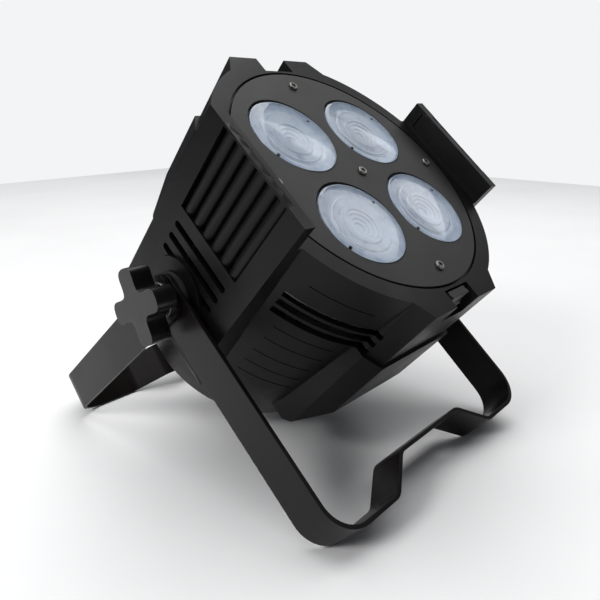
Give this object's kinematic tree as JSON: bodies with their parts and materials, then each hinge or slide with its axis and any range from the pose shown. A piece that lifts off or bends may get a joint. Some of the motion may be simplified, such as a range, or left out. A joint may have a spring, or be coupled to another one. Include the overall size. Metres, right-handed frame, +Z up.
{
  "type": "par can light",
  "caption": "LED par can stage light: round housing with side fins, lensed face, rear panel, and two steel yokes on clamp knobs that also form a floor stand.",
  "frame": {"origin": "on the floor at the centre of the standing lamp's footprint", "axes": "+X along the pivot axis, -Y the way the beam points over the floor, +Z up"},
  "size_m": [0.28, 0.3014, 0.2779],
  "materials": {
    "housing_abs": "satin moulded",
    "face_plate_paint": "matte powder coat",
    "lens_acrylic": "clear moulded acrylic",
    "lens_holder_black": "moulded",
    "cob_ceramic": "ceramic with phosphor",
    "sink_aluminium": "extruded",
    "zinc_steel": "zinc plated",
    "stainless_screws": "stainless",
    "fan_plastic": "moulded",
    "chassis_steel": "galvanised sheet",
    "board_green": "solder mask",
    "component_black": "moulded",
    "panel_paint": "matte powder coat",
    "display_red": "LED display",
    "display_window_smoke": "smoked acrylic",
    "button_grey": "moulded",
    "socket_black": "moulded",
    "socket_metal": "black zinc",
    "latch_black": "moulded",
    "yoke_powder_coat": "black powder coat on steel strip",
    "washer_rubber": "moulded",
    "knob_phenolic": "moulded"
  },
  "bodies": {
    "head": {"arm_washers": "washer_rubber", "board_screws": "zinc_steel", "board_standoffs": "zinc_steel", "chassis_plate": "chassis_steel", "chassis_screws": "zinc_steel", "cob_led_1": "cob_ceramic", "cob_led_2": "cob_ceramic", "cob_led_3": "cob_ceramic", "cob_led_4": "cob_ceramic", "control_board": "board_green", "display_module": "display_red", "display_window": "display_window_smoke", "dmx_in_socket": "socket_metal", "dmx_out_socket": "socket_metal", "driver_board": "board_green", "driver_chokes": "component_black", "face_plate": "face_plate_paint", "face_screws": "stainless_screws", "face_standoffs": "zinc_steel", "fan_frame": "fan_plastic", "fan_screws": "zinc_steel", "friction_washers": "washer_rubber", "fuse_holder": "socket_black", "heat_sink": "sink_aluminium", "heat_sink_screws": "zinc_steel", "knob_washers": "stainless_screws", "latch_pin": "zinc_steel", "left_shell": "housing_abs", "lens_1": "lens_acrylic", "lens_2": "lens_acrylic", "lens_3": "lens_acrylic", "lens_4": "lens_acrylic", "lens_holder_1": "lens_holder_black", "lens_holder_2": "lens_holder_black", "lens_holder_3": "lens_holder_black", "lens_holder_4": "lens_holder_black", "pivot_nuts": "zinc_steel", "power_board": "board_green", "power_capacitors": "component_black", "power_inlet": "socket_black", "power_transformer": "component_black", "rear_panel": "panel_paint", "rear_screws": "zinc_steel", "right_shell": "housing_abs", "safety_eye": "zinc_steel"},
    "front_bracket": {"front_yoke": "yoke_powder_coat"},
    "rear_bracket": {"rear_yoke": "yoke_powder_coat"},
    "left_knob_body": {"left_knob": "knob_phenolic", "left_knob_stud": "zinc_steel"},
    "right_knob_body": {"right_knob": "knob_phenolic", "right_knob_stud": "zinc_steel"},
    "fan": {"fan_rotor": "fan_plastic"},
    "latch": {"frame_latch": "latch_black"},
    "menu_button_key": {"menu_button": "button_grey"},
    "down_button_key": {"down_button": "button_grey"},
    "up_button_key": {"up_button": "button_grey"},
    "enter_button_key": {"enter_button": "button_grey"}
  },
  "joints": [
    {"name": "front_yoke_tilt", "type": "hinge", "parent": "head", "child": "front_bracket", "pos_m": [0, -0.002, 0.13029], "axis": [1, 0, 0], "range_deg": [-90, 95]},
    {"name": "rear_yoke_tilt", "type": "hinge", "parent": "head", "child": "rear_bracket", "pos_m": [0, -0.002, 0.13029], "axis": [1, 0, 0], "range_deg": [-95, 90]},
    {"name": "left_knob_turn", "type": "hinge", "parent": "head", "child": "left_knob_body", "pos_m": [0, -0.002, 0.13029], "axis": [-1, 0, 0], "range_deg": [0, 540]},
    {"name": "right_knob_turn", "type": "hinge", "parent": "head", "child": "right_knob_body", "pos_m": [0, -0.002, 0.13029], "axis": [1, 0, 0], "range_deg": [0, 540]},
    {"name": "fan_spin", "type": "hinge", "parent": "head", "child": "fan", "pos_m": [0, -0.00857, 0.13783], "axis": [0, -0.6574, 0.7536], "continuous": true},
    {"name": "frame_latch_swing", "type": "hinge", "parent": "head", "child": "latch", "pos_m": [0, -0.13789, 0.12786], "axis": [1, 0, 0], "range_deg": [0, 30], "stiffness_Nm_per_rad": 0.02},
    {"name": "menu_button_press", "type": "slide", "parent": "head", "child": "menu_button_key", "axis": [0, -0.6574, 0.7536], "range_m": [0, 0.0008], "stiffness_N_per_m": 400},
    {"name": "down_button_press", "type": "slide", "parent": "head", "child": "down_button_key", "axis": [0, -0.6574, 0.7536], "range_m": [0, 0.0008], "stiffness_N_per_m": 400},
    {"name": "up_button_press", "type": "slide", "parent": "head", "child": "up_button_key", "axis": [0, -0.6574, 0.7536], "range_m": [0, 0.0008], "stiffness_N_per_m": 400},
    {"name": "enter_button_press", "type": "slide", "parent": "head", "child": "enter_button_key", "axis": [0, -0.6574, 0.7536], "range_m": [0, 0.0008], "stiffness_N_per_m": 400}
  ]
}
